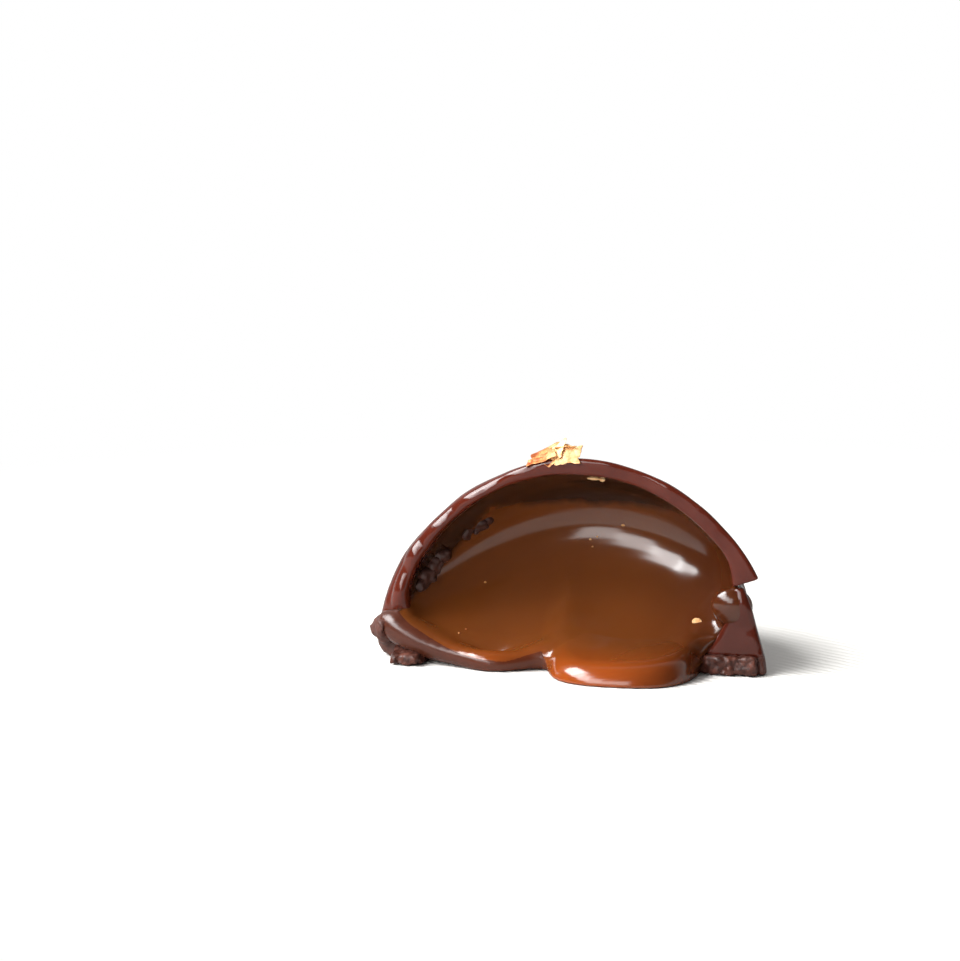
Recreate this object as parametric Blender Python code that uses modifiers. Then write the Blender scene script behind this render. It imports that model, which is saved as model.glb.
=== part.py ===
"""Half of a moulded dark chocolate with a salted caramel filling, in metres, +Z up.

A ribbed dome shell was cut in two through its axis. The caramel keeps to the walls of the
half that is left, and runs out over the cut edge of the base into a spill in front.

The dome's axis is vertical and lies in the cut. X runs along the cut, and Y from the
spill (-Y) to the dome's ribbed back (+Y). The origin is on the surface that the piece
stands on, under the middle of its footprint.
"""

import math

import bmesh
import bpy
from mathutils import Vector, noise

# Where the dome's axis stands. It puts the middle of the footprint over the origin.
AXIS = Vector((0.00040, -0.00450, 0.0))
GAP = 0.0002  # clearance between neighbouring pieces

# Shell: an ellipsoid with ribs outside and a smooth cavity inside
DOME_RADIUS = 0.0150
DOME_HEIGHT = 0.01535
CAVITY_RADIUS = 0.0135
CAVITY_HEIGHT = 0.01400
FOOT_HEIGHT = 0.0065  # the wall thickens below this height
FOOT_FILL_LEFT = 0.0036  # how far it has thickened at the bottom of the cavity
FOOT_FILL_RIGHT = 0.0054
RIB_COUNT = 18
RIB_SPLIT = 0.36  # each rib is two lobes, and this share of it is the narrow one
GROOVE_DEPTH = 0.00085  # between two ribs, at the foot
SPLIT_DEPTH = 0.00040  # between the two lobes of a rib
RIB_TWIST = math.radians(16)  # from the foot to the top
RIB_PHASE = math.radians(7)

# Crack at the right of the cut: below it, the wall is pushed in
CRACK_HEIGHT = 0.0063
CRACK_GAPE = 0.0006
CRACK_SPAN = math.radians(42)
CRACK_PUSH = 0.00125
CRACK_PUSH_AT_FOOT = 0.00085
CRACK_LEVELS = (0.0042, 0.0090)  # the inside of the wall is pushed in without a step

# Base: the disc that closes the mould, set into the foot of the shell
BASE_RADIUS = 0.0131
BASE_THICKNESS = 0.0014
CHUNK_CENTRE_X = -0.0118  # a lump of the base that stands out of the cut
CHUNK_HALF_WIDTH = 0.0017
CHUNK_REACH = 0.0023
LEDGE_CENTRE_X = 0.0112
LEDGE_HALF_WIDTH = 0.0026
LEDGE_REACH = 0.0008

# Free surface of the caramel, which has slumped forward from the back of the dome
FILM = 0.00045  # the caramel's thickness on the wall above it
HOLLOW_DEPTH = 0.88  # the reach back of the space over it, as a share of its reach to a side
SLUMP_LEVEL = 0.0021  # its height at the middle of the cut
SLUMP_SLOPE = 0.45  # there, up towards the back
SLUMP_BEND = 45.0  # per metre: how the slope grows towards the back
SLUMP_EASE = 450.0  # per metre: how it levels out in front of the cut
SLUMP_LEFT = 300.0  # per square metre: how it climbs the wall at either side
SLUMP_RIGHT = 1600.0
SLUMP_LOW = Vector((-0.0140, -0.0010, 0.0))
SLUMP_HIGH = Vector((0.0140, 0.0130, 0.0200))

# Spill: a thick tongue of caramel, squarish in plan
SPILL_CENTRE = Vector((0.00365, 0.00050, 0.0))
SPILL_REACH = Vector((0.00545, 0.00650, 0.0))
SPILL_POWER = 2.8
SPILL_SHARE = 0.96  # its height, as a share of the free surface's

LIP_ROUTE = (
    ((-0.0134, -0.0003, 0.0033), 0.00060),
    ((-0.0127, -0.0006, 0.0027), 0.00090),
    ((-0.0116, -0.0009, 0.0020), 0.00095),
    ((-0.0102, -0.0011, 0.0015), 0.00095),
    ((-0.0082, -0.0014, 0.0012), 0.00100),
    ((-0.0058, -0.0017, 0.0011), 0.00100),
    ((-0.0038, -0.0014, 0.0010), 0.00090),
    ((-0.0024, -0.0009, 0.0011), 0.00070),
)

# Gold leaf on top
LEAF_CENTRE = Vector((-0.0017, 0.0011, 0.0158))
LEAF_SIZE = Vector((0.0038, 0.0021))
LEAF_TILT = 0.16  # rise for each metre to the right
LEAF_THICKNESS = 0.00012
LEAF_CRUMPLE = 0.0008

FAR = 0.04  # the half size of a cutter that has to reach past everything


def srgb(red, green, blue):
    """A colour given as 0 to 255 in sRGB, as the linear values that a shader takes."""
    shares = [c / 255 for c in (red, green, blue)]
    return [s / 12.92 if s <= 0.04045 else ((s + 0.055) / 1.055) ** 2.4 for s in shares] + [1]


def material(name, colour, roughness, metallic=0.0):
    made = bpy.data.materials.new(name)
    made.use_nodes = True
    shader = made.node_tree.nodes["Principled BSDF"]
    shader.inputs["Base Color"].default_value = colour
    shader.inputs["Roughness"].default_value = roughness
    shader.inputs["Metallic"].default_value = metallic
    return made


def collection(name):
    made = bpy.data.collections.new(name)
    bpy.context.scene.collection.children.link(made)
    return made


def place(name, mesh, home, finish=None):
    """An object of this mesh, standing on the dome's axis."""
    made = bpy.data.objects.new(name, mesh)
    made.location = AXIS
    home.objects.link(made)
    if finish:
        mesh.materials.append(finish)
    return made


def as_cutter(obj):
    obj.hide_render = True
    obj.display_type = "WIRE"
    return obj


def boolean(target, operation, other):
    step = target.modifiers.new(f"{operation.lower()} {other.name}", "BOOLEAN")
    step.operation = operation
    step.object = other
    step.solver = "EXACT"


def evaluated_mesh(obj):
    bpy.context.view_layer.update()
    graph = bpy.context.evaluated_depsgraph_get()
    return bpy.data.meshes.new_from_object(obj.evaluated_get(graph))


def mesh_of(name, build):
    """The mesh that build leaves in an empty bmesh."""
    work = bmesh.new()
    build(work)
    bmesh.ops.recalc_face_normals(work, faces=work.faces)
    mesh = bpy.data.meshes.new(name)
    work.to_mesh(mesh)
    work.free()
    return mesh


def shade(mesh):
    mesh.shade_smooth()
    mesh.set_sharp_from_angle(angle=math.radians(40))


def box_mesh(name, low, high):
    low, high = Vector(low), Vector(high)

    def build(work):
        bmesh.ops.create_cube(work, size=1.0)
        bmesh.ops.scale(work, vec=high - low, verts=work.verts)
        bmesh.ops.translate(work, vec=(low + high) / 2, verts=work.verts)

    return mesh_of(name, build)


def turned_mesh(name, profile, steps):
    """A closed solid of revolution. The profile is (radius, height), top to bottom."""
    mesh = bpy.data.meshes.new(name)
    points = [(radius, 0, height) for radius, height in profile]
    mesh.from_pydata(points, [(i, i + 1) for i in range(len(points) - 1)], [])
    guide = bpy.data.objects.new(name + " profile", mesh)
    bpy.context.scene.collection.objects.link(guide)
    screw = guide.modifiers.new("turn", "SCREW")
    screw.steps = steps
    screw.render_steps = steps
    screw.use_merge_vertices = True
    screw.merge_threshold = 1e-6
    turned = evaluated_mesh(guide)
    turned.name = name
    bpy.data.objects.remove(guide)
    return turned


def smooth_step(low, high, value):
    share = min(1.0, max(0.0, (value - low) / (high - low)))
    return share * share * (3 - 2 * share)


def crack_push(azimuth, height, levels=(CRACK_HEIGHT, CRACK_HEIGHT + CRACK_GAPE)):
    """How far the wall is pushed in. Azimuth 0 is the right end of the cut."""
    along = 1 - smooth_step(0.25 * CRACK_SPAN, CRACK_SPAN, abs(azimuth))
    up = smooth_step(0.0, 0.6 * CRACK_HEIGHT, height)
    most = CRACK_PUSH_AT_FOOT + (CRACK_PUSH - CRACK_PUSH_AT_FOOT) * up
    return along * most * (1 - smooth_step(*levels, height))


def groove(azimuth):
    """The depth of the groove pattern round the foot, 0 on top of a lobe."""
    along = ((azimuth + RIB_PHASE) * RIB_COUNT / math.tau) % 1.0
    if along < RIB_SPLIT:
        share = along / RIB_SPLIT
        depths = (GROOVE_DEPTH, SPLIT_DEPTH)
    else:
        share = (along - RIB_SPLIT) / (1 - RIB_SPLIT)
        depths = (SPLIT_DEPTH, GROOVE_DEPTH)
    depth = depths[0] + (depths[1] - depths[0]) * share
    arch = max(0.0, 1 - (2 * share - 1) ** 2) ** 0.5
    return depth * (1 - arch)


def dome_profile(radius, height, rows):
    """An elliptic arc from the top to the foot, with a pair of points across the crack."""
    low, high = CRACK_HEIGHT, CRACK_HEIGHT + CRACK_GAPE
    levels = [height * math.cos(math.pi / 2 * i / rows) for i in range(rows + 1)]
    kept = [z for z in levels if not low - GAP < z < high + GAP] + [low, high]
    return [(radius * math.sqrt(max(0.0, 1 - (z / height) ** 2)), z) for z in sorted(kept)[::-1]]


def ribbed_dome():
    profile = dome_profile(DOME_RADIUS, DOME_HEIGHT, 20) + [(0, 0)]
    mesh = turned_mesh("dome", profile, 8 * RIB_COUNT)
    for vertex in mesh.vertices:
        across = math.hypot(vertex.co.x, vertex.co.y)
        azimuth = math.atan2(vertex.co.y, vertex.co.x)
        up = max(0.0, vertex.co.z) / DOME_HEIGHT
        turned = azimuth - RIB_TWIST * up**2
        depth = groove(azimuth) * (1 - smooth_step(0.2, 0.98, up)) * (across / DOME_RADIUS)
        if across > CAVITY_RADIUS / 2 or up > 0:
            across -= depth + crack_push(turned, vertex.co.z) * (across > 0)
        vertex.co = (across * math.cos(turned), across * math.sin(turned), vertex.co.z)
    return mesh


def cavity_mesh(name, inset, floor):
    """The space inside the shell, smaller by inset on its walls, down to floor."""
    profile = dome_profile(CAVITY_RADIUS - inset, CAVITY_HEIGHT - inset, 16)
    wall = [(r, z) for r, z in profile if z > floor + GAP]
    at_floor = (CAVITY_RADIUS - inset) * math.sqrt(1 - (floor / CAVITY_HEIGHT) ** 2)
    mesh = turned_mesh(name, wall + [(at_floor, floor), (0, floor)], 72)
    for vertex in mesh.vertices:
        across = math.hypot(vertex.co.x, vertex.co.y)
        azimuth = math.atan2(vertex.co.y, vertex.co.x)
        if across < DOME_RADIUS / 4:
            continue
        to_right = 0.5 + 0.5 * math.cos(azimuth)
        fill = FOOT_FILL_LEFT + (FOOT_FILL_RIGHT - FOOT_FILL_LEFT) * to_right**2
        across -= fill * max(0.0, 1 - vertex.co.z / FOOT_HEIGHT) ** 2
        across -= crack_push(azimuth, vertex.co.z, CRACK_LEVELS)
        vertex.co = (across * math.cos(azimuth), across * math.sin(azimuth), vertex.co.z)
    return mesh


def make_shell(parts, cutters, finish):
    shell = place("shell", ribbed_dome(), parts, finish)
    shade(shell.data)
    hollow = as_cutter(place("shell cavity", cavity_mesh("cavity", 0, BASE_THICKNESS / 2), cutters))
    rebate_profile = [
        (0, BASE_THICKNESS + GAP),
        (BASE_RADIUS + GAP, BASE_THICKNESS + GAP),
        (BASE_RADIUS + GAP, -FAR),
        (0, -FAR),
    ]
    rebate = as_cutter(place("base rebate", turned_mesh("rebate", rebate_profile, 72), cutters))
    half = box_mesh("front", (-FAR, -FAR, -FAR), (FAR, 0, FAR))
    front = as_cutter(place("front half", half, cutters))
    foot = box_mesh("foot", (-0.002, -0.002, -0.002), (0.002, 0.002, 0.002))
    broken = as_cutter(place("broken foot", foot, cutters))
    broken.location = AXIS + Vector((-0.0158, -0.0004, -0.0011))
    broken.rotation_euler = (math.radians(20), math.radians(-12), math.radians(30))
    for cutter in (front, hollow, rebate, broken):
        boolean(shell, "DIFFERENCE", cutter)


def base_outline():
    """The disc's rim round the back, then its broken edge along the cut."""
    rim = [math.pi * i / 40 for i in range(41)]
    points = [(BASE_RADIUS * math.cos(a), BASE_RADIUS * math.sin(a)) for a in rim]
    steps = 42
    for i in range(1, steps):
        x = -BASE_RADIUS + 2 * BASE_RADIUS * i / steps
        ragged = 0.00016 * math.sin(3100 * x) + 0.00012 * math.sin(7300 * x + 1)
        lump = CHUNK_REACH * max(0.0, 1 - ((x - CHUNK_CENTRE_X) / CHUNK_HALF_WIDTH) ** 4)
        ledge = LEDGE_REACH * max(0.0, 1 - ((x - LEDGE_CENTRE_X) / LEDGE_HALF_WIDTH) ** 4)
        points.append((x, 0.0003 + ragged - lump - ledge))
    return points


def make_base(parts, finish):
    curve = bpy.data.curves.new("base outline", "CURVE")
    curve.dimensions = "2D"
    curve.fill_mode = "BOTH"
    curve.extrude = BASE_THICKNESS / 2
    outline = base_outline()
    spline = curve.splines.new("POLY")
    spline.points.add(len(outline) - 1)
    for point, (x, y) in zip(spline.points, outline, strict=True):
        point.co = (x, y, 0, 1)
    spline.use_cyclic_u = True
    base = place("base", curve, parts, finish)
    base.location = AXIS + Vector((0, 0, BASE_THICKNESS / 2))


def slump_height(x, y):
    """The height of the caramel's free surface."""
    climb = (SLUMP_RIGHT if x > 0 else SLUMP_LEFT) * abs(x) ** 3
    if y > 0:
        return SLUMP_LEVEL + SLUMP_SLOPE * y + SLUMP_BEND * y**2 + climb
    return SLUMP_LEVEL + SLUMP_SLOPE * y / (1 - SLUMP_EASE * y) + climb


def over_slump_mesh():
    """All that is over the free surface."""

    def build(work):
        bmesh.ops.create_grid(work, x_segments=34, y_segments=17, size=0.5)
        for vertex in work.verts:
            x = SLUMP_LOW.x + (vertex.co.x + 0.5) * (SLUMP_HIGH.x - SLUMP_LOW.x)
            y = SLUMP_LOW.y + (vertex.co.y + 0.5) * (SLUMP_HIGH.y - SLUMP_LOW.y)
            vertex.co = (x, y, slump_height(x, y))
        raised = bmesh.ops.extrude_face_region(work, geom=work.faces[:])
        for item in raised["geom"]:
            if isinstance(item, bmesh.types.BMVert):
                item.co.z = SLUMP_HIGH.z

    return mesh_of("over the slump", build)


def hollow_mesh():
    """The space inside the film of caramel on the wall."""
    radius, height = CAVITY_RADIUS - GAP - FILM, CAVITY_HEIGHT - GAP - FILM
    rows = 18
    profile = []
    for i in range(rows + 1):
        angle = math.pi / 2 * i / rows
        profile.append((radius * math.sin(angle), height * math.cos(angle)))
    mesh = turned_mesh("hollow", profile + [(0, 0)], 72)
    for vertex in mesh.vertices:
        azimuth = math.atan2(vertex.co.y, vertex.co.x)
        share = 1 - crack_push(azimuth, vertex.co.z, CRACK_LEVELS) / CAVITY_RADIUS
        vertex.co.x *= share
        vertex.co.y *= HOLLOW_DEPTH * share
    return mesh


def spill_mesh():
    """The tongue, a flattened ball that is squarish in plan and from the side."""
    power = 2 / SPILL_POWER

    def build(work):
        bmesh.ops.create_uvsphere(work, u_segments=48, v_segments=18, radius=1.0)
        for vertex in work.verts:
            share = [math.copysign(abs(value) ** power, value) for value in vertex.co]
            x = SPILL_CENTRE.x + share[0] * SPILL_REACH.x
            y = SPILL_CENTRE.y + share[1] * SPILL_REACH.y
            top = SPILL_SHARE * slump_height(x - SPILL_CENTRE.x, min(y, 0.0))
            vertex.co = (x, y, share[2] * top)

    return mesh_of("spill", build)


def make_caramel(parts, cutters, finish):
    inset, floor = GAP, BASE_THICKNESS + GAP
    caramel = place("caramel", cavity_mesh("caramel", inset, floor), parts, finish)
    hollow = as_cutter(place("caramel hollow", hollow_mesh(), cutters))
    over_slump = as_cutter(place("over the slump", over_slump_mesh(), cutters))
    boolean(hollow, "INTERSECT", over_slump)
    slab = box_mesh("slab", (-FAR, -FAR, -FAR), (FAR, GAP, FAR))
    front = as_cutter(place("caramel front", slab, cutters))
    spill = as_cutter(place("spill", spill_mesh(), cutters))
    below = box_mesh("floor", (-FAR, -FAR, -FAR), (FAR, FAR, 0))
    ground = as_cutter(place("below the floor", below, cutters))
    seat = box_mesh("seat", (-FAR, -GAP, -FAR), (FAR, FAR, floor))
    over_base = as_cutter(place("caramel seat", seat, cutters))
    for operation, other in (
        ("DIFFERENCE", front),
        ("DIFFERENCE", hollow),
        ("UNION", spill),
        ("DIFFERENCE", ground),
        ("DIFFERENCE", over_base),
    ):
        boolean(caramel, operation, other)
    shade(caramel.data)


def make_lip(parts, cutters, finish):
    curve = bpy.data.curves.new("lip route", "CURVE")
    curve.dimensions = "3D"
    curve.bevel_depth = 1.0
    curve.bevel_resolution = 3
    curve.resolution_u = 3
    curve.use_fill_caps = True
    spline = curve.splines.new("NURBS")
    spline.points.add(len(LIP_ROUTE) - 1)
    for point, (where, radius) in zip(spline.points, LIP_ROUTE, strict=True):
        point.co = (*where, 1)
        point.radius = radius
    spline.use_endpoint_u = True
    guide = bpy.data.objects.new("lip route", curve)
    bpy.context.scene.collection.objects.link(guide)
    mesh = evaluated_mesh(guide)
    bpy.data.objects.remove(guide)
    work = bmesh.new()
    work.from_mesh(mesh)
    bmesh.ops.remove_doubles(work, verts=work.verts, dist=1e-6)
    work.to_mesh(mesh)
    work.free()
    lip = place("lip", mesh, parts, finish)
    back = box_mesh("back", (-FAR, -GAP, -FAR), (FAR, FAR, FAR))
    behind = as_cutter(place("lip back", back, cutters))
    reach = CHUNK_HALF_WIDTH + GAP
    low = (CHUNK_CENTRE_X - reach, -CHUNK_REACH - GAP, -FAR)
    high = (CHUNK_CENTRE_X + reach, 0, BASE_THICKNESS + GAP)
    chunk = as_cutter(place("room for the lump", box_mesh("lump", low, high), cutters))
    boolean(lip, "DIFFERENCE", behind)
    boolean(lip, "DIFFERENCE", chunk)
    shade(lip.data)


def make_gold_leaf(parts, finish):
    """A crumpled flake with torn corners, lying on the top of the dome."""

    def build(work):
        bmesh.ops.create_grid(work, x_segments=12, y_segments=7, size=0.5)
        for vertex in work.verts:
            x, y = vertex.co.x, vertex.co.y
            torn = 1 + 0.25 * noise.noise((4 * x, 4 * y, 2.0))
            fold = noise.noise((3.1 * x, 2.3 * y, 5.0)) + 0.5 * noise.noise((8 * x, 7 * y, 1.0))
            point = LEAF_CENTRE + Vector((x * LEAF_SIZE.x * torn, y * LEAF_SIZE.y * torn, 0))
            outward = math.hypot(point.x, point.y) / DOME_RADIUS
            dome = DOME_HEIGHT * math.sqrt(1 - outward**2)
            point.z += LEAF_TILT * (point.x - LEAF_CENTRE.x) + LEAF_CRUMPLE * fold
            point.z = max(point.z, dome + GAP + LEAF_THICKNESS)
            vertex.co = point

    leaf = place("gold_leaf", mesh_of("gold leaf", build), parts, finish)
    thicken = leaf.modifiers.new("thickness", "SOLIDIFY")
    thicken.thickness = LEAF_THICKNESS
    thicken.offset = 0


def main():
    for obj in list(bpy.data.objects):
        bpy.data.objects.remove(obj)
    parts = collection("cut caramel chocolate")
    cutters = collection("cutters")
    make_shell(parts, cutters, material("dark chocolate", srgb(74, 47, 40), 0.35))
    make_base(parts, material("chocolate base", srgb(90, 60, 52), 0.6))
    make_caramel(parts, cutters, material("caramel", srgb(120, 62, 24), 0.12))
    make_lip(parts, cutters, material("melted chocolate", srgb(112, 68, 52), 0.25))
    make_gold_leaf(parts, material("gold leaf", srgb(233, 178, 100), 0.3, 1.0))


main()
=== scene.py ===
"""The looks of the cut caramel chocolate: fine meshes, materials, stage, light and camera.

The forms are worked out in millimetres from the dome's axis: X runs along the cut, Y from
the cut into the dome, and Z up from what the candy stands on. A form is a field: a function
of x, y and z that is below 0 inside it and gives about the distance to its surface. Each
noise has a seed of its own, so every run makes the same forms.
"""

from itertools import product
from math import cos, pi, radians, sin, sqrt

import bpy
import numpy as np
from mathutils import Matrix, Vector


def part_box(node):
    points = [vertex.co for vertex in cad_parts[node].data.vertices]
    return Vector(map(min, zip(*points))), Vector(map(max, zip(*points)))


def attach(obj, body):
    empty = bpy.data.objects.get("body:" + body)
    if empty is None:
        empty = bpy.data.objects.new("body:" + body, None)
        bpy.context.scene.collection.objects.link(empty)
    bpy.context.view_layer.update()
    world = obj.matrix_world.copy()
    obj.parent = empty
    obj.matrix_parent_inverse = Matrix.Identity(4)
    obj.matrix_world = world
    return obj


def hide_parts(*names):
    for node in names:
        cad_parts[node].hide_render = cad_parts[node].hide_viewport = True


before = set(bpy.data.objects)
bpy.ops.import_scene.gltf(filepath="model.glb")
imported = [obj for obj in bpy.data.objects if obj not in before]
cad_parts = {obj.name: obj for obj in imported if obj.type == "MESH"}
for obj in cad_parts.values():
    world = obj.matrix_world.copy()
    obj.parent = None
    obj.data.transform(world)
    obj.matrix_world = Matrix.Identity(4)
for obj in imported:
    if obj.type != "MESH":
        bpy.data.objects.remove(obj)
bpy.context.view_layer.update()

MM = 0.001
BASE_LOW, BASE_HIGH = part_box("base")
SHELL_LOW, SHELL_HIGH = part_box("shell")
# Where the dome's axis meets the floor, in the frame's metres
ORIGIN = Vector(((BASE_LOW.x + BASE_HIGH.x) / 2, SHELL_LOW.y, SHELL_LOW.z))

# Dome. This group and the next three are as in the CAD, and lengths are in millimetres
DOME_RADIUS = 15.0
DOME_HEIGHT = (SHELL_HIGH.z - SHELL_LOW.z) / MM
CAVITY_RADIUS = 13.5
CAVITY_HEIGHT = 14.0
# The wall thickens towards its foot, more on the right
FOOT_HEIGHT = 6.5
FOOT_FILL_LEFT = 3.6
FOOT_FILL_RIGHT = 5.4

# Ribs: deep grooves part them, and a shallow one splits each into a narrow and a wide lobe
RIB_COUNT = 18
RIB_SPLIT = 0.36
GROOVE_DEPTH = 0.95
SPLIT_DEPTH = 0.42
RIB_TWIST = radians(16)
RIB_PHASE = radians(7)
# Lobes are arches, a little less steep at their edges than in the CAD: 1 would be upright
LOBE_ROUNDNESS = 0.93
LOBE_RISE = 0.735

# The wall at the right is cracked, and pushed in below the crack
CRACK_LEVELS = (6.3, 6.9)
INNER_CRACK_LEVELS = (4.2, 9.0)
CRACK_SPAN = radians(42)
CRACK_PUSH = 1.25
CRACK_PUSH_AT_FOOT = 0.85

BASE_RADIUS = 13.2
BASE_THICKNESS = (BASE_HIGH.z - BASE_LOW.z) / MM
# The chunk and the ledge that stick out of its torn edge: (x, flat, half-width, reach)
BASE_TEARS = ((-12.3, 0.9, 1.9, 2.9), (11.3, 2.0, 2.9, 0.9))

# The crack on the cut face: its level, slope and inner end, and how far back it goes
CRACK_LEVEL = 6.45
CRACK_SLOPE = 0.22
CRACK_END = 11.0
CRACK_DEPTH = 3.0
# Broken chocolate at the left of the foot, and caramel swollen under the crack: centre, size
STUB = ((-14.2, -0.1, 2.1), (0.8, 1.1, 1.1))
SWELL = ((11.2, 0.45, 4.9), (1.5, 0.8, 1.35))
# Where the wet film on the cut stands out, first below the crack on the right and then up the
# left: (x, z, half-width, half-height, lift, share of it that is flat)
RIM_BULGES = (
    (12.2, 4.9, 1.6, 1.7, 0.35, 0.1),
    (-13.0, 5.0, 1.1, 2.0, 0.30, 0.0),
    (-12.1, 7.6, 1.2, 1.5, 0.25, 0.0),
    (-10.7, 9.6, 1.4, 1.6, 0.15, 0.0),
    (-8.2, 12.1, 1.8, 1.3, 0.22, 0.0),
    (-4.6, 13.9, 2.0, 1.2, 0.22, 0.0),
)

# Caramel: the film on the wall, and how far the film draws back at the cut
FILM = 0.5
FILM_LOSS = 0.12
# The pool's level at the cut, how it rises to the back, and how it falls in front of the cut
POOL_LEVEL = 2.1
POOL_RISE = 0.45
POOL_BEND = 0.045
POOL_FALL = 0.30
# It has a crest at the left of the tongue, and a dip over the lip: (x, half-width, height)
POOL_WAVES = ((0.4, 2.3, 0.45), (-5.6, 2.6, -0.30))
WAVE_REACH = 1.9
# The tongue's plan is a squarish oval: centre, half-widths and the power of its rounding
TONGUE_CENTRE = (3.65, 0.5)
TONGUE_SIZE = (5.45, 6.5)
TONGUE_POWER = 2.8
# The middle of the lip, from left to right: (x, y, z, radius)
LIP_ROUTE = (
    (-13.9, -0.1, 2.8, 0.70),
    (-13.1, -0.4, 2.4, 1.00),
    (-11.9, -0.8, 1.80, 1.00),
    (-10.4, -1.2, 1.30, 0.80),
    (-8.2, -1.7, 0.80, 0.70),
    (-5.8, -2.2, 0.50, 0.85),
    (-3.8, -1.7, 0.65, 0.70),
    (-2.2, -1.1, 1.00, 0.60),
)
# Nothing reaches below this height, just clear of the floor
FLOOR_GAP = 0.06
SHELL_FLOOR_GAP = 0.05

# Torn flakes on the top: (centre, size, height, slopes along x and y, fold, seed)
FLAKES = (
    ((-2.6, 0.55), (2.0, 1.3), 15.25, (0.45, 0.5), 0.16, 61),
    ((-1.65, 0.35), (1.2, 1.0), 15.40, (0.7, 1.1), 0.2, 63),
    ((-0.6, 0.20), (1.8, 1.2), 15.45, (0.10, 0.9), 0.12, 71),
    ((-1.0, 0.95), (1.5, 1.1), 15.80, (0.10, -0.3), 0.15, 81),
)
LEAF_THICKNESS = 0.03
# Crumbs on the inner wall: (degrees round the dome, z)
CRUMB_SPOTS = ((170, 5.0), (169, 5.7), (166, 6.5), (164, 7.1), (155, 8.8), (151, 9.4), (147, 9.7))
CRUMB_SEED = 100
# Flecks of leaf in the caramel: (x, z, half-width, half-height)
FLECK_SPOTS = (
    (0.7, 13.25, 0.55, 0.12),
    (1.25, 13.2, 0.22, 0.18),
    (8.6, 3.5, 0.36, 0.30),
    (-0.3, 8.0, 0.10, 0.08),
    (0.2, 8.2, 0.08, 0.07),
    (-0.1, 7.5, 0.07, 0.06),
    (2.1, 9.1, 0.16, 0.08),
    (-7.6, 5.0, 0.09, 0.07),
    (-8.6, 2.1, 0.08, 0.07),
    (-8.2, 2.3, 0.07, 0.06),
)
FLECK_THICKNESS = 0.08
FLECK_SEED = 130

# Floor, in metres, but its grain and ribs are how many there are to a metre, roughly
FLOOR_SIZE = 6.0
FLOOR_FADE = (0.016, 0.09)
PAPER_GRAIN = 900
PAPER_RIBS = 420
PAPER_RIB_TURN = radians(-58)

# The world's strengths: as light, and as the candy's gloss shows it
SKY = 0.20
ROOM_IN_FRONT = 0.06
ROOM_BEHIND = 0.9
# Lamps, in degrees, metres and watts:
# (name, azimuth, elevation, distance, width, height, power, mirrored)
LAMPS = (
    ("first window", -80, 45, 1.0, 0.50, 0.55, 14.0, True),
    ("second window", -56, 41, 1.0, 0.30, 0.48, 5.2, True),
    ("third window", -40, 33, 1.0, 0.28, 0.40, 3.6, True),
    ("fourth window", -25, 24, 1.0, 0.27, 0.36, 2.0, True),
    ("fifth window", -10, 16, 1.0, 0.27, 0.34, 1.3, True),
    ("front fill", -5, 30, 1.2, 1.0, 0.6, 0.6, False),
    ("back fill", 170, 65, 1.0, 1.0, 0.8, 2.6, False),
)
LAMP_TARGET_HEIGHT = 0.007

# Camera, in degrees, metres and a lens in millimetres. It aims left of the candy and above it
CAMERA_AZIMUTH = 11
CAMERA_ELEVATION = 12
CAMERA_DISTANCE = 0.300
CAMERA_LENS = 157
CAMERA_TARGET_HEIGHT = 0.0073
CAMERA_AIM_LEFT = 0.00695
CAMERA_AIM_UP = 0.00620


# ---------------------------------------------------------------- numbers


def smooth_step(low, high, value):
    """0 up to low and 1 from high, smooth between them."""
    share = np.clip((value - low) / (high - low), 0, 1)
    return share * share * (3 - 2 * share)


def smooth_min(a, b, blend):
    """The union of two fields, with a fillet about blend wide where they meet."""
    share = np.clip(0.5 + 0.5 * (b - a) / blend, 0, 1)
    return b + (a - b) * share - blend * share * (1 - share)


def smooth_max(a, b, blend):
    """What two fields share, with an edge rounded about blend wide."""
    return -smooth_min(-a, -b, blend)


def noise(x, y, z, cell, seed):
    """Smooth noise from -1 to 1, with bumps about a cell across."""
    size = 24  # the lattice repeats after this many cells
    lattice = np.random.default_rng(seed).uniform(-1, 1, (size, size, size))
    low, share = [], []
    for value in np.broadcast_arrays(x / cell, y / cell, z / cell):
        whole = np.floor(value).astype(int)
        part = value - whole
        low.append(whole)
        share.append(part * part * (3 - 2 * part))
    total = 0
    for corner in product((0, 1), repeat=3):
        weight = 1
        for part, step in zip(share, corner):
            weight = weight * (part if step else 1 - part)
        total = total + weight * lattice[tuple((w + s) % size for w, s in zip(low, corner))]
    return total


def rough(x, y, z, cell, seed, octaves=3):
    """Noise with finer noise on it."""
    return sum(noise(x, y, z, cell / 2**i, seed + i) / 2**i for i in range(octaves))


# ---------------------------------------------------------------- fields


def ellipsoid(x, y, z, radius, depth, height):
    """A round body about the origin, given its half-widths along x, y and z."""
    tiny = 1e-9  # keeps the middle from dividing by 0
    near = np.sqrt((x / radius) ** 2 + (y / depth) ** 2 + (z / height) ** 2) + tiny
    slope = np.sqrt((x / radius**2) ** 2 + (y / depth**2) ** 2 + (z / height**2) ** 2) + tiny
    return near * (near - 1) / slope


def lump(x, y, z, centre, size):
    """An ellipsoid away from the origin."""
    cx, cy, cz = centre
    return ellipsoid(x - cx, y - cy, z - cz, *size)


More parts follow.
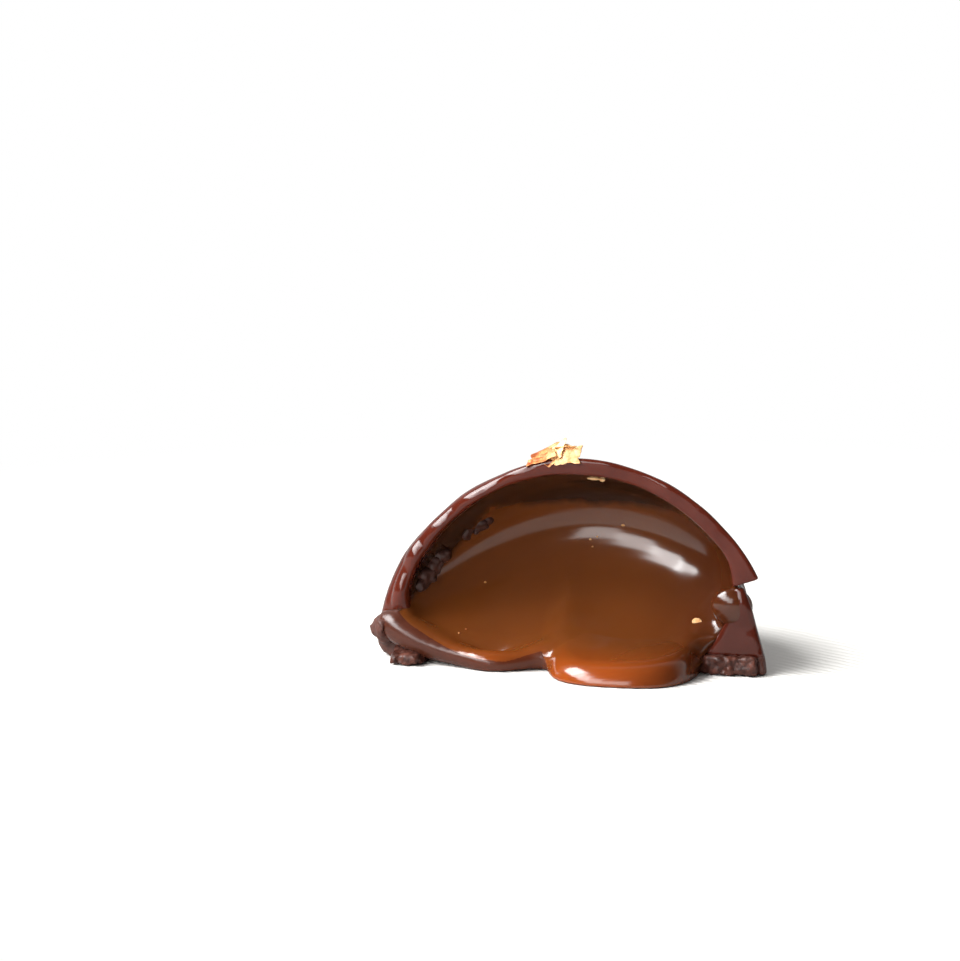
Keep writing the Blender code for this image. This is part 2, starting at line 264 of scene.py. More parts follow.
def roll(x, y, z, route, blend):
    """A round bar along route, a list of (x, y, z, radius)."""
    total = None
    for (ax, ay, az, ar), (bx, by, bz, br) in zip(route, route[1:]):
        dx, dy, dz = bx - ax, by - ay, bz - az
        along = ((x - ax) * dx + (y - ay) * dy + (z - az) * dz) / (dx * dx + dy * dy + dz * dz)
        along = np.clip(along, 0, 1)
        px, py, pz = x - ax - along * dx, y - ay - along * dy, z - az - along * dz
        stretch = np.sqrt(px**2 + py**2 + pz**2) - (ar + along * (br - ar))
        total = stretch if total is None else smooth_min(total, stretch, blend)
    return total


def rib_groove(azimuth):
    """The depth of the grooves round the foot, 0 on top of a lobe."""
    along = ((azimuth + RIB_PHASE) * RIB_COUNT / (2 * pi)) % 1.0
    narrow = along < RIB_SPLIT
    share = np.where(narrow, along / RIB_SPLIT, (along - RIB_SPLIT) / (1 - RIB_SPLIT))
    first = np.where(narrow, GROOVE_DEPTH, SPLIT_DEPTH)
    last = np.where(narrow, SPLIT_DEPTH, GROOVE_DEPTH)
    arch = np.sqrt(1 - LOBE_ROUNDNESS * (2 * share - 1) ** 2)
    return (first + (last - first) * share) * (1 - arch) / LOBE_RISE


def crack_push(azimuth, z, levels):
    """How far the wall is pushed in at the right. It fades out between two levels."""
    along = 1 - smooth_step(0.25 * CRACK_SPAN, CRACK_SPAN, np.abs(azimuth))
    up = smooth_step(0, 0.6 * CRACK_LEVELS[0], z)
    most = CRACK_PUSH_AT_FOOT + (CRACK_PUSH - CRACK_PUSH_AT_FOOT) * up
    return along * most * (1 - smooth_step(*levels, z))


def outside(x, y, z):
    """The ribbed outside of the dome."""
    azimuth = np.arctan2(y, x)
    up = np.clip(z / DOME_HEIGHT, 0, 1)
    across = np.sqrt(x * x + y * y)
    fade = (1 - smooth_step(0.2, 0.98, up)) * across / DOME_RADIUS
    depth = rib_groove(azimuth + RIB_TWIST * up**2) * fade
    # The left shoulder is a little flat
    dent = 0.35 * smooth_step(2, 9, -x) * smooth_step(7, 11, z)
    smooth = ellipsoid(x, y, z, DOME_RADIUS, DOME_RADIUS, DOME_HEIGHT)
    # Just behind the cut the outside draws in
    drawn = (1 - np.exp(-np.maximum(y, 0) / 2.0)) * (1 - smooth_step(4.0, 13.0, y))
    drawn = drawn * smooth_step(-9, -3, x)
    return smooth + depth + dent + drawn + crack_push(azimuth, z, CRACK_LEVELS)


def cavity(x, y, z):
    """The inside of the shell."""
    azimuth = np.arctan2(y, x)
    to_right = 0.5 + 0.5 * np.cos(azimuth)
    fill = FOOT_FILL_LEFT + (FOOT_FILL_RIGHT - FOOT_FILL_LEFT) * to_right**2
    fill = fill * np.maximum(0, 1 - z / FOOT_HEIGHT) ** 2
    smooth = ellipsoid(x, y, z, CAVITY_RADIUS, CAVITY_RADIUS, CAVITY_HEIGHT)
    return smooth + fill + crack_push(azimuth, z, INNER_CRACK_LEVELS)


def shell(x, y, z):
    """The ribbed wall, with its cut, crack and broken corner."""
    rim = 0.13 * noise(x, 0, z, cell=2.2, seed=11) + 0.03 * noise(x, 0, z, cell=0.9, seed=12)
    for middle, level, width, height, lift, flat in RIM_BULGES:
        away = np.hypot((x - middle) / width, (z - level) / height)
        rim = rim - lift * (1 - smooth_step(flat, 1.0, away))
    # At the right its foot is torn, like the base
    foot = smooth_step(8.5, 9.5, x) * (1 - smooth_step(1.1, 1.5, z))
    rim = rim + foot * (0.15 + 0.25 * rough(x, 0, z, cell=0.8, seed=17))
    whole = smooth_max(outside(x, y, z), rim - y, 0.5 + 0.8 * smooth_step(0, -7, x))
    whole = smooth_max(whole, -cavity(x, y, z), 0.5)
    # The crack runs in from the outside, under the broken end of the wall above it
    slope = CRACK_SLOPE * (x - 12)
    gape = 0.08 + 0.12 * np.maximum(x - 11.4, 0)
    end = CRACK_END + 0.5 * noise(z, y, 0, cell=0.5, seed=14)
    crack = np.maximum(np.abs(z - CRACK_LEVEL - slope) - gape, end - x)
    whole = smooth_max(whole, -np.maximum(crack, y - CRACK_DEPTH), 0.12)
    # The foot's left corner has broken off, and left a rough end
    corner = (x + 13.7) * 0.75 + (z - 0.2) * 0.66 + y * 0.20
    whole = smooth_max(whole, -corner - 0.35 * rough(x, y, z, cell=0.9, seed=13), 0.15)
    stub = lump(x, y, z, *STUB) + 0.25 * rough(x, y, z, cell=0.7, seed=16)
    whole = smooth_min(whole, stub, 0.25)
    return smooth_max(whole, SHELL_FLOOR_GAP - z, 0.2)


def base(x, y, z):
    """The disc under the dome, torn along the cut, with a chunk and a ledge left on it."""
    left_on = sum(
        reach * (1 - smooth_step(flat, wide, np.abs(x - middle)))
        for middle, flat, wide, reach in BASE_TEARS
    )
    torn = 0.25 * noise(x, 0, z, cell=0.9, seed=21) + 0.12 * noise(x, 0, z, cell=0.4, seed=22)
    plan = np.sqrt(x * x + np.maximum(y, 0) ** 2) - BASE_RADIUS
    # The chunk slopes down to its front
    top = BASE_THICKNESS - 0.28 * np.minimum(np.maximum(-y, 0), 2.5) * smooth_step(-9, -10, x)
    slab = np.abs(z - top / 2) - top / 2
    whole = smooth_max(plan, slab, 0.3)
    whole = smooth_max(whole, 0.25 - left_on + torn - y, 0.3)
    return smooth_max(whole, FLOOR_GAP - z, 0.2)


def smooth_route(route, between=3):
    """Catmull-Rom points through a route."""
    ends = np.array([route[0], *route, route[-1]])
    points = []
    for a, b, c, d in zip(ends, ends[1:], ends[2:], ends[3:]):
        for t in np.arange(between) / between:
            rest = (2 * a - 5 * b + 4 * c - d) * t**2 + (3 * b - a - 3 * c + d) * t**3
            points.append(b + 0.5 * ((c - a) * t + rest))
    return [*points, ends[-1]]


LIP_LINE = smooth_route(LIP_ROUTE)


def free_surface(x, y):
    """The height of the caramel that has slumped forward from the back of the dome."""
    sides = np.where(x > 0, 0.0010, 0.0003) * np.abs(x) ** 3
    back = np.maximum(y, 0)
    out = np.minimum(y, 0)
    wave = sum(high * np.exp(-(((x - middle) / wide) ** 2)) for middle, wide, high in POOL_WAVES)
    wave = wave * np.exp(-((y / WAVE_REACH) ** 2))
    climb = POOL_LEVEL + POOL_RISE * back + POOL_BEND * back**2
    return climb + POOL_FALL * out / (1 - POOL_FALL * out) + sides + wave


def hollow(x, y, z):
    """The air over the caramel. The film on the wall thins out to nothing at the cut."""
    film = FILM * smooth_step(0.2, 4.0, y) - FILM_LOSS
    height = CAVITY_HEIGHT - film
    radius = CAVITY_RADIUS - film
    # Its roof leans to the right behind the cut, and is a little less deep than the cavity
    leaned = x - 0.6 * smooth_step(1, 6, y)
    roof = ellipsoid(leaned, y, z, radius, 0.90 * CAVITY_RADIUS, height)
    push = crack_push(np.arctan2(y, x), z, INNER_CRACK_LEVELS)
    bed = (free_surface(x, y) - z) / 1.25
    return smooth_max(roof + push, bed, 3.0 + 2.5 * smooth_step(2, 7, y))


def liquid(x, y, z):
    """The caramel and the soft chocolate that it carries, as one wet surface."""
    under_air = -hollow(x, y, z)
    pool_edge = -0.6 + 0.8 * smooth_step(2.4, 3.2, z) + 0.5 * smooth_step(8.0, 9.2, x)
    lining = smooth_max(cavity(x, y, z) - 0.35, under_air, 0.2)
    lining = smooth_max(lining, np.minimum(pool_edge, 0.2) - y, 1.0)
    # A thick tongue runs over the edge of the base and out onto the floor
    (cx, cy), (a, b), power = TONGUE_CENTRE, TONGUE_SIZE, TONGUE_POWER
    plan = ((np.abs(x - cx) / a) ** power + (np.abs(y - cy) / b) ** power) ** (1 / power)
    tongue = smooth_max(np.maximum((plan - 1) * 6, z - 5), under_air, 1.7)
    whole = smooth_min(lining, tongue, 0.05 + 1.2 * smooth_step(0.5, 1.0, plan))
    whole = smooth_min(whole, roll(x, y, z, LIP_LINE, 0.5) + 0.08, 1.4)
    # It swells over the shell under the crack
    whole = smooth_min(whole, lump(x, y, z, *SWELL), 0.5)
    return smooth_max(whole, FLOOR_GAP - z, 0.12)


def lip_region(x, y, z):
    """Below 0 where the wet surface is soft chocolate."""
    # Its top edge is lowest where the pool dips
    top = 0.92 + 0.05 * (x + 5.6) ** 2 + 0.12 * noise(x, y, z, cell=1.5, seed=41)
    return np.maximum(np.maximum(z - top, y - 0.3), x + 2.0 + 0.5 * (z - 1.2))


def caramel(x, y, z):
    """The wet surface, drawn in a little where the lip covers it."""
    return liquid(x, y, z) + 0.10 * smooth_step(0, 0.6, -lip_region(x, y, z))


def lip(x, y, z):
    """The part of the wet surface that is soft chocolate."""
    return smooth_max(liquid(x, y, z), lip_region(x, y, z), 0.06)


# ---------------------------------------------------------------- meshes

CORNERS = np.array(list(product((0, 1), repeat=3)))
EDGES = [
    (a, b)
    for a in range(8)
    for b in range(a + 1, 8)
    if np.abs(CORNERS[a] - CORNERS[b]).sum() == 1
]


def surface_nets(values):
    """The zero surface of a grid of values: a point in each cell it crosses, joined by quads."""
    inside = values < 0
    count = np.zeros([n - 1 for n in values.shape], np.int8)
    for corner in CORNERS:
        count += inside[tuple(slice(c, c + n - 1) for c, n in zip(corner, values.shape))]
    cells = np.argwhere((count > 0) & (count < 8))
    number = np.full(count.shape, -1, np.int32)
    number[tuple(cells.T)] = np.arange(len(cells))
    at = np.stack([values[tuple((cells + corner).T)] for corner in CORNERS], 1)
    total, crossings = np.zeros((len(cells), 3)), np.zeros(len(cells))
    for a, b in EDGES:
        crosses = (at[:, a] < 0) != (at[:, b] < 0)
        share = np.where(crosses, at[:, a] / np.where(crosses, at[:, a] - at[:, b], 1), 0)
        point = CORNERS[a] + share[:, None] * (CORNERS[b] - CORNERS[a])
        total += point * crosses[:, None]
        crossings += crosses
    points = cells + total / crossings[:, None]
    quads = []
    for axis in range(3):
        after, last = (axis + 1) % 3, (axis + 2) % 3
        near = [slice(1, n - 1) for n in values.shape]
        near[axis] = slice(0, values.shape[axis] - 1)
        far = list(near)
        far[axis] = slice(1, values.shape[axis])
        change = inside[tuple(near)] != inside[tuple(far)]
        edge = np.argwhere(change) + [0 if i == axis else 1 for i in range(3)]
        ring = []
        for back_after, back_last in ((1, 1), (0, 1), (0, 0), (1, 0)):
            cell = edge.copy()
            cell[:, after] -= back_after
            cell[:, last] -= back_last
            ring.append(number[tuple(cell.T)])
        ring = np.stack(ring, 1)
        outward = inside[tuple(edge.T)]
        quads.append(np.where(outward[:, None], ring, ring[:, ::-1]))
    return points, np.concatenate(quads)


def settle(points, field, rounds=3):
    """Moves points onto the field's zero surface, and gives the directions out of it."""
    small, farthest, least_slope = 0.01, 0.15, 0.05
    for _ in range(rounds):
        x, y, z = points.T
        value = field(x, y, z)
        slope = np.stack(
            [
                (field(x + small, y, z) - field(x - small, y, z)),
                (field(x, y + small, z) - field(x, y - small, z)),
                (field(x, y, z + small) - field(x, y, z - small)),
            ],
            1,
        ) / (2 * small)
        steep = np.maximum((slope**2).sum(1), least_slope)
        move = np.clip(value / steep, -farthest, farthest)[:, None] * slope
        points = points - move
    return points, slope / np.sqrt(steep)[:, None]


def to_object(name, points, quads):
    """A smooth object from points in millimetres from the dome's axis."""
    mesh = bpy.data.meshes.new(name)
    mesh.vertices.add(len(points))
    mesh.vertices.foreach_set("co", (points * MM + np.array(ORIGIN)).ravel())
    mesh.loops.add(quads.size)
    mesh.loops.foreach_set("vertex_index", quads.ravel())
    mesh.polygons.add(len(quads))
    mesh.polygons.foreach_set("loop_start", np.arange(0, quads.size, quads.shape[1]))
    mesh.update(calc_edges=True)
    mesh.shade_smooth()
    made = bpy.data.objects.new(name, mesh)
    bpy.context.scene.collection.objects.link(made)
    return made


def sampled(field, low, high, step):
    """The surface of a field in the box from low to high: points, directions out, quads."""
    axes = [np.arange(a, b + step, step) for a, b in zip(low, high)]
    grid = np.meshgrid(*axes, indexing="ij", sparse=True)
    points, quads = surface_nets(np.broadcast_to(field(*grid), [len(a) for a in axes]))
    points, outward = settle(points * step + np.array(low), field)
    return points, outward, quads


def solid(name, field, low, high, step, relief=None):
    """An object from a field. relief(x, y, z) raises its surface."""
    points, outward, quads = sampled(field, low, high, step)
    if relief:
        points = points + outward * relief(*points.T)[:, None]
    return to_object(name, points, quads)


def joined(name, parts):
    """One object from several parts, each (points, quads)."""
    starts = np.cumsum([0] + [len(points) for points, _ in parts])
    points = np.concatenate([points for points, _ in parts])
    quads = np.concatenate([quads + start for (_, quads), start in zip(parts, starts)])
    return to_object(name, points, quads)


def piece(obj, slot, finish, *nodes):
    """Makes obj a piece of the candy, in place of the CAD nodes named."""
    obj.data.materials.clear()
    obj.data.materials.append(finish)
    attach(obj, "root")
    if nodes:
        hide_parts(*nodes)


# ---------------------------------------------------------------- materials


def srgb(red, green, blue):
    """A colour given as 0 to 255 in sRGB, as the linear values that a shader takes."""
    shares = [c / 255 for c in (red, green, blue)]
    return [s / 12.92 if s <= 0.04045 else ((s + 0.055) / 1.055) ** 2.4 for s in shares] + [1]


class Finish:
    """A material in the making, with short ways to add its nodes."""

    def __init__(self, name, roughness, **sockets):
        self.material = bpy.data.materials.new(name)
        self.material.use_nodes = True
        self.tree = self.material.node_tree
        self.shader = self.tree.nodes["Principled BSDF"]
        self.shader.inputs["Roughness"].default_value = roughness
        for socket, value in sockets.items():
            self.shader.inputs[socket.replace("_", " ")].default_value = value

    def node(self, kind, **settings):
        made = self.tree.nodes.new("ShaderNode" + kind)
        for key, value in settings.items():
            setattr(made, key, value)
        return made

    def link(self, source, target):
        self.tree.links.new(source, target)

    def places(self):
        """Millimetres from the dome's axis, as three outputs."""
        where = self.node("TexCoord").outputs["Object"]
        moved = self.node("VectorMath", operation="SUBTRACT")
        self.link(where, moved.inputs[0])
        moved.inputs[1].default_value = ORIGIN
        scaled = self.node("VectorMath", operation="SCALE")
        self.link(moved.outputs[0], scaled.inputs[0])
        scaled.inputs["Scale"].default_value = 1 / MM
        split = self.node("SeparateXYZ")
        self.link(scaled.outputs[0], split.inputs[0])
        return scaled.outputs[0], split.outputs

    def math(self, operation, *values):
        made = self.node("Math", operation=operation)
        for socket, value in zip(made.inputs, values):
            if isinstance(value, (int, float)):
                socket.default_value = value
            else:
                self.link(value, socket)
        return made.outputs[0]

    def ramp(self, value, low, high):
        """0 up to low and 1 from high, smooth between them."""
        made = self.node("MapRange", interpolation_type="SMOOTHSTEP")
        self.link(value, made.inputs["Value"])
        made.inputs["From Min"].default_value = low
        made.inputs["From Max"].default_value = high
        return made.outputs["Result"]

    def noise(self, where, size, detail=3.0, roughness=0.55):
        """Noise from 0 to 1, its bumps about size millimetres across."""
        made = self.node("TexNoise")
        self.link(where, made.inputs["Vector"])
        made.inputs["Scale"].default_value = 1 / size
        made.inputs["Detail"].default_value = detail
        made.inputs["Roughness"].default_value = roughness
        return made.outputs["Fac"]

    def mix(self, share, first, second):
        """A colour between two, each a colour or an output."""
        made = self.node("Mix", data_type="RGBA")
        # Inputs 6 and 7 of a Mix node are its two colours
        for index, value in ((0, share), (6, first), (7, second)):
            if isinstance(value, (int, float, list, tuple)):
                made.inputs[index].default_value = value
            else:
                self.link(value, made.inputs[index])
        return made.outputs[2]

    def set(self, socket, value):
        """Feeds an output into a socket of the shader."""
        self.link(value, self.shader.inputs[socket])

    def glow_inside(self, reach, scale):
        """How far each colour of light spreads under the surface, and scale in millimetres."""
        self.shader.inputs["Subsurface Radius"].default_value = reach
        self.shader.inputs["Subsurface Scale"].default_value = scale * MM

    def bump(self, height, distance, strength=1.0):
        """Fine relief, distance millimetres deep."""
        made = self.node("Bump")
        made.inputs["Distance"].default_value = distance * MM
        made.inputs["Strength"].default_value = strength
        self.link(height, made.inputs["Height"])
        self.set("Normal", made.outputs[0])


def chocolate_finish():
    """Dark satin outside; red-brown and wet on the cut."""
    made = Finish("dark chocolate", 0.35, IOR=1.46, Subsurface_Weight=0.06)
    made.glow_inside((1.0, 0.4, 0.25), 1.0)
    where, (x, y, z) = made.places()
    clouds = made.noise(where, 2.5)
    dark = made.mix(clouds, srgb(56, 32, 27), srgb(70, 42, 35))
    film = made.mix(made.noise(where, 1.6), srgb(66, 22, 13), srgb(90, 34, 21))
    near_cut = made.ramp(made.math("MULTIPLY_ADD", clouds, 0.5, y), 1.6, 0.9)
    # The wall below the crack is of one shade
    below = made.math("MULTIPLY", made.ramp(x, 9.5, 11.0), made.ramp(z, 6.6, 6.2))
    film = made.mix(below, film, srgb(68, 25, 15))
    # The foot at the right and the corner at the left are torn, and matt
    grain = made.noise(where, 0.6, 5.0, 0.6)
    torn = made.math("MULTIPLY", made.ramp(x, 9.0, 9.6), made.ramp(z, 1.5, 1.15))
    corner = made.math("MULTIPLY", made.ramp(x, -13.2, -13.6), made.ramp(z, 3.4, 3.0))
    torn = made.math("ADD", torn, corner)
    film = made.mix(torn, film, made.mix(grain, srgb(48, 23, 17), srgb(94, 52, 41)))
    made.set("Base Color", made.mix(near_cut, dark, film))
    # Roughness of the satin outside, and of the wet cut
    dull = made.math("MULTIPLY_ADD", clouds, 0.16, 0.32)
    gloss = made.math("MULTIPLY_ADD", made.noise(where, 0.9), 0.08, 0.06)
    gloss = made.math("MULTIPLY_ADD", torn, 0.4, gloss)
    rest = made.math("SUBTRACT", gloss, dull)
    made.set("Roughness", made.math("MULTIPLY_ADD", rest, near_cut, dull))
    made.bump(made.noise(where, 0.35, 4.0), 0.02, 0.25)
    return made.material


def torn_chocolate_finish():
    """Broken chocolate: matt, paler where it has crumbled."""
    made = Finish("torn chocolate", 0.6, IOR=1.38)
    where, _ = made.places()
    grain = made.noise(where, 0.6, 5.0, 0.6)
    crumbled = made.ramp(grain, 0.35, 0.75)
    made.set("Base Color", made.mix(crumbled, srgb(48, 23, 17), srgb(98, 54, 42)))
    made.set("Roughness", made.math("MULTIPLY_ADD", made.noise(where, 1.2), 0.6, 0.1))
    made.bump(grain, 0.10, 0.5)
    return made.material


def caramel_finish():
    """Glossy caramel: dark where only a film is left, with painted shade on the roof and towards
    the right, and golden where it has run out.
    """
    made = Finish("caramel", 0.08, IOR=1.58, Subsurface_Weight=0.15)
    made.glow_inside((1.0, 0.35, 0.08), 2.0)
    where, (x, y, z) = made.places()
    clouds = made.noise(where, 4.0, 2.0)
    outward = made.ramp(made.math("MULTIPLY_ADD", z, 0.8, y), 1.4, -5.4)
    body = made.mix(outward, srgb(100, 52, 20), srgb(142, 64, 18))
    # Painted shade: the caramel darkens towards the right, where the inner wall gets less light.
    # In part it is also the chocolate showing through.
    to_right = made.math("MULTIPLY", made.ramp(x, 2.0, 11.0), 0.95)
    body = made.mix(to_right, body, srgb(64, 28, 12))
    body = made.mix(made.math("MULTIPLY", clouds, 0.3), body, srgb(90, 45, 16))
    # Only a film is left on the roof and high on the left wall, where the dark chocolate shows
    # through. The darker colour there is also painted shade, for the roof that faces down and the
    # left wall in shadow.
    slanting = made.math("MULTIPLY_ADD", x, 1.22, 19.2)
    level = made.math("MINIMUM", slanting, 10.6)
    above = made.math("SUBTRACT", z, level)
    ragged = made.math("MULTIPLY_ADD", made.noise(where, 1.2, 4.0), 0.9, above)
    film_and_painted_shade = made.ramp(ragged, 0.1, 1.0)
    made.set("Base Color", made.mix(film_and_painted_shade, body, srgb(44, 24, 14)))
    made.set("Roughness", made.math("MULTIPLY_ADD", made.noise(where, 2.0), 0.10, 0.09))
    made.bump(made.noise(where, 1.6, 2.0), 0.02, 0.2)
    return made.material


def lip_finish():
    """Soft milk-brown chocolate streaked into the caramel."""
    made = Finish("soft chocolate", 0.25, IOR=1.46, Subsurface_Weight=0.1)
    made.glow_inside((1.0, 0.45, 0.25), 1.2)
    where, (x, _, _) = made.places()
    streaks = made.noise(where, 1.4, 3.0)
    brown = made.mix(streaks, srgb(56, 24, 15), srgb(84, 42, 27))
    caramel_side = made.ramp(x, -9.0, -4.0)
    made.set("Base Color", made.mix(caramel_side, brown, srgb(80, 35, 16)))
    made.set("Roughness", made.math("MULTIPLY_ADD", streaks, 0.18, 0.16))
    made.bump(made.noise(where, 0.7, 3.0), 0.02, 0.3)
    return made.material


def gold_finish():
    """Creased leaf: pale gold, and amber at the left."""
    made = Finish("gold leaf", 0.4, Metallic=0.3)
    where, (x, _, _) = made.places()
    creases = made.noise(where, 0.5, 4.0, 0.6)
    pale = made.mix(made.ramp(creases, 0.3, 0.7), srgb(216, 153, 92), srgb(240, 202, 150))
    amber = made.mix(made.ramp(creases, 0.35, 0.65), srgb(165, 80, 30), srgb(214, 150, 86))
    left = made.ramp(made.math("MULTIPLY_ADD", creases, 1.2, x), -1.0, -1.8)
    made.set("Base Color", made.mix(left, pale, amber))
    made.set("Roughness", made.math("MULTIPLY_ADD", creases, 0.3, 0.3))
    made.bump(creases, 0.05, 0.4)
    return made.material


# ---------------------------------------------------------------- pieces


def make_shell(finish):
    low, high = (-15.6, -1.6, -0.4), (15.6, 15.6, 16.0)
    made = solid("chocolate_shell", shell, low, high, step=0.13)
    piece(made, "dark_chocolate", finish, "shell")


def make_base(finish):
    def crumble(x, y, z):
        """The relief on the torn edge at both ends of the cut."""
        front = smooth_step(0.9, 0.1, y) * smooth_step(8.8, 9.6, np.abs(x))
        grit = 0.10 * rough(x, y, z, cell=0.55, seed=51)
        grit = grit + 0.05 * noise(x, y, z, cell=0.2, seed=55)
        return front * grit

    low, high = (-13.8, -3.2, -0.4), (13.8, 13.8, 1.9)
    made = solid("torn_base", base, low, high, step=0.11, relief=crumble)
    piece(made, "base_chocolate", finish, "base")


def make_caramel(finish):
    low, high = (-15.2, -6.6, -0.3), (13.8, 12.8, 14.4)
    made = solid("caramel_filling", caramel, low, high, step=0.13)
    piece(made, "caramel", finish, "caramel")


def make_lip(finish):
    low, high = (-15.2, -4.0, -0.3), (-1.2, 1.0, 4.6)
    made = solid("soft_lip", lip, low, high, step=0.09)
    piece(made, "soft_chocolate", finish, "lip")


def torn_sheet(centre, size, level, tilt, fold, seed, count=30):
    """A flake of leaf with a torn outline, as (points, quads), laid over the dome.

    level is its height at its centre, and tilt its slopes along x and y.
    """
    (cx, cy), (width, depth) = centre, size
    u, v = np.meshgrid(np.linspace(-1, 1, count), np.linspace(-1, 1, count), indexing="ij")
    torn = 1 + 0.25 * noise(1.3 * u, 1.3 * v, 0 * u, 0.9, seed)
    torn = torn + 0.10 * noise(u, v, 0 * u, 0.3, seed + 1)
    x, y = cx + 0.5 * width * u * torn, cy + 0.5 * depth * v * torn
    creases = fold * np.abs(noise(x, y, 0 * x, 0.9, seed + 2))
    creases = creases + 0.25 * fold * noise(x, y, 0 * x, 0.4, seed + 3)
    z = level + tilt[0] * (x - cx) + tilt[1] * (y - cy) + creases
    dome = DOME_HEIGHT * np.sqrt(1 - (x * x + np.maximum(y, 0) ** 2) / DOME_RADIUS**2)
    # It lies on the dome behind the cut, and hangs over the cut's edge in front
    z = np.maximum(z, np.where(y > 0.2, dome + 0.03, dome - 0.9 - 0.5 * u))
    grid = np.arange(count * count).reshape(count, count)
    quads = np.stack([grid[:-1, :-1], grid[1:, :-1], grid[1:, 1:], grid[:-1, 1:]], -1)
    return np.stack([x, y, z], -1).reshape(-1, 3), quads.reshape(-1, 4)


def make_leaf(finish):
    """Torn flakes, crumpled together on the top of the dome."""
    made = joined("crumpled_leaf", [torn_sheet(*flake) for flake in FLAKES])
    thicken = made.modifiers.new("thickness", "SOLIDIFY")
    thicken.thickness = LEAF_THICKNESS * MM
    piece(made, "gold_leaf", finish, "gold_leaf")


def first_surface(x, z, field, low=-7.0, high=13.0, count=1001):
    """The y at which a line along +Y at (x, z) first enters the field."""
    y = np.linspace(low, high, count)
    inside = field(x, y, z) < 0
    return float(y[np.argmax(inside)])


def blob(centre, size, seed):
    """A small lump: (points, quads) of a dented ball."""

    def field(x, y, z):
        dents = 0.3 * min(size) * noise(x, y, z, 0.6 * min(size), seed)
        return ellipsoid(x, y, z, *size) + dents

    low, high = [-1.5 * s for s in size], [1.5 * s for s in size]
    points, _, quads = sampled(field, low, high, min(size) / 4)
    return points + np.array(centre), quads


def make_crumbs(finish):
    """Bits of the shell, left on its inner wall at the left where the caramel starts."""
    crumbs = []
    for index, (azimuth, z) in enumerate(CRUMB_SPOTS):
        a = radians(azimuth)
        across = CAVITY_RADIUS * sqrt(1 - (z / CAVITY_HEIGHT) ** 2) - 0.5
        size = (0.6 + 0.15 * (index % 2), 0.7, 0.6 + 0.15 * (index % 3))
        centre = (across * cos(a), across * sin(a), z)
        crumbs.append(blob(centre, size, CRUMB_SEED + index))
    piece(joined("crumbs", crumbs), "dark_chocolate", finish)


def make_flecks(finish):
    """Flecks of gold leaf that have got into the caramel."""
    flecks = []
    for index, (x, z, width, height) in enumerate(FLECK_SPOTS):
        centre = (x, first_surface(x, z, caramel), z)
        flecks.append(blob(centre, (width, FLECK_THICKNESS, height), FLECK_SEED + index))
    piece(joined("gold_flecks", flecks), "gold_leaf", finish)


# ---------------------------------------------------------------- stage, light, camera


def make_floor():
    """A wide sheet of white paper with a faint ribbed weave."""
    bpy.ops.mesh.primitive_plane_add(size=FLOOR_SIZE, location=(0, 0, SHELL_LOW.z))
    floor = bpy.context.object
    floor.name = "floor"
    made = Finish("white paper", 0.8)
    where = made.node("TexCoord").outputs["Object"]
    grain = made.node("TexNoise")
    made.link(where, grain.inputs["Vector"])
    grain.inputs["Scale"].default_value = PAPER_GRAIN
    grain.inputs["Detail"].default_value = 3
    # It is dimmer in the candy's gloss than it looks
    mirrored = made.node("LightPath").outputs["Is Glossy Ray"]
    made.set("Base Color", made.mix(mirrored, srgb(238, 236, 232), srgb(176, 174, 172)))
    ribs = made.node("TexWave", wave_profile="SIN")
    turned = made.node("Mapping")
    made.link(where, turned.inputs["Vector"])
    turned.inputs["Rotation"].default_value = (0, 0, PAPER_RIB_TURN)
    made.link(turned.outputs[0], ribs.inputs["Vector"])
    ribs.inputs["Scale"].default_value = PAPER_RIBS
    ribs.inputs["Distortion"].default_value = 3
    relief = made.math("MULTIPLY_ADD", ribs.outputs["Fac"], 0.6, grain.outputs["Fac"])
    made.bump(relief, 0.12, 0.4)
    # Away from the candy it fades into the white behind it
    away = made.node("VectorMath", operation="LENGTH")
    made.link(where, away.inputs[0])
    glow = made.node("Emission")
    glow.inputs["Strength"].default_value = 1.0
    seen = made.node("LightPath").outputs["Is Camera Ray"]
    share = made.math("MULTIPLY", made.ramp(away.outputs["Value"], *FLOOR_FADE), seen)
    blend = made.node("MixShader")
    made.link(share, blend.inputs[0])
    made.link(made.shader.outputs[0], blend.inputs[1])
    made.link(glow.outputs[0], blend.inputs[2])
    made.link(blend.outputs[0], made.tree.nodes["Material Output"].inputs["Surface"])
    floor.data.materials.append(made.material)


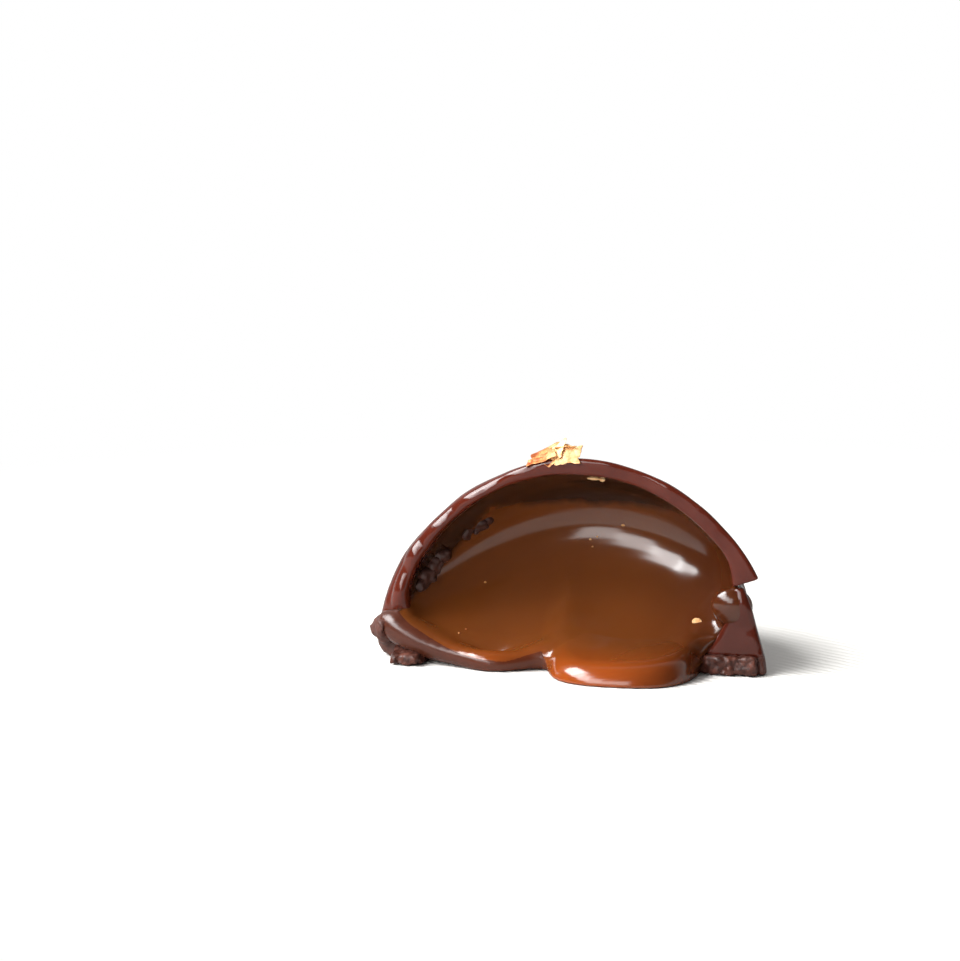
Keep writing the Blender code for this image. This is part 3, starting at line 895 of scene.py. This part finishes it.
def make_world():
    """White to the camera, and a plain pale sky as light.

    The candy's gloss shows a bright room behind it and a dim one in front.
    """
    world = bpy.data.worlds.new("studio")
    bpy.context.scene.world = world
    world.use_nodes = True
    tree = world.node_tree
    output = tree.nodes["World Output"]

    def background(strength):
        made = tree.nodes.new("ShaderNodeBackground")
        made.inputs["Strength"].default_value = strength
        return made.outputs[0]

    def blend(share, first, second):
        made = tree.nodes.new("ShaderNodeMixShader")
        tree.links.new(share, made.inputs[0])
        tree.links.new(first, made.inputs[1])
        tree.links.new(second, made.inputs[2])
        return made.outputs[0]

    ray = tree.nodes.new("ShaderNodeLightPath").outputs
    towards = tree.nodes.new("ShaderNodeSeparateXYZ")
    tree.links.new(tree.nodes.new("ShaderNodeTexCoord").outputs["Generated"], towards.inputs[0])
    behind = tree.nodes.new("ShaderNodeMapRange")
    tree.links.new(towards.outputs["Y"], behind.inputs["Value"])
    behind.inputs["From Min"].default_value = 0.0
    behind.inputs["From Max"].default_value = 0.5
    mirrored = blend(
        behind.outputs["Result"], background(ROOM_IN_FRONT), background(ROOM_BEHIND)
    )
    lit = blend(ray["Is Glossy Ray"], background(SKY), mirrored)
    tree.links.new(blend(ray["Is Camera Ray"], lit, background(1.0)), output.inputs["Surface"])


def direction(azimuth, elevation):
    """A unit vector, from degrees: azimuth 0 is in front of the cut, and 90 to its right."""
    a, e = radians(azimuth), radians(elevation)
    return Vector((sin(a) * cos(e), -cos(a) * cos(e), sin(e)))


def make_lamp(name, azimuth, elevation, distance, width, height, power, mirrored):
    """An area lamp aimed at the candy, in its gloss as well if mirrored."""
    data = bpy.data.lights.new(name, "AREA")
    data.shape = "RECTANGLE"
    data.size = width
    data.size_y = height
    data.energy = power
    lamp = bpy.data.objects.new(name, data)
    target = ORIGIN + Vector((0, 0, LAMP_TARGET_HEIGHT))
    lamp.location = target + distance * direction(azimuth, elevation)
    lamp.rotation_euler = (lamp.location - target).to_track_quat("Z", "Y").to_euler()
    lamp.visible_glossy = mirrored
    bpy.context.scene.collection.objects.link(lamp)


def make_camera():
    """The camera looks past the candy, which is low and to the right in the picture."""
    target = ORIGIN + Vector((0, 0, CAMERA_TARGET_HEIGHT))
    back = direction(CAMERA_AZIMUTH, CAMERA_ELEVATION)
    right = back.cross(Vector((0, 0, -1))).normalized()
    up = right.cross(-back)
    aim = target - CAMERA_AIM_LEFT * right + CAMERA_AIM_UP * up
    data = bpy.data.cameras.new("camera")
    data.lens = CAMERA_LENS
    data.sensor_width = 36
    data.sensor_fit = "HORIZONTAL"
    data.clip_start = 0.01
    camera = bpy.data.objects.new("camera", data)
    camera.location = target + CAMERA_DISTANCE * back
    camera.rotation_euler = (aim - camera.location).to_track_quat("-Z", "Y").to_euler()
    bpy.context.scene.collection.objects.link(camera)
    bpy.context.scene.camera = camera


def main():
    bpy.context.scene.view_settings.view_transform = "Standard"
    chocolate, gold = chocolate_finish(), gold_finish()
    make_shell(chocolate)
    make_base(torn_chocolate_finish())
    make_caramel(caramel_finish())
    make_lip(lip_finish())
    make_crumbs(chocolate)
    make_leaf(gold)
    make_flecks(gold)
    make_floor()
    make_world()
    for lamp in LAMPS:
        make_lamp(*lamp)
    make_camera()


main()
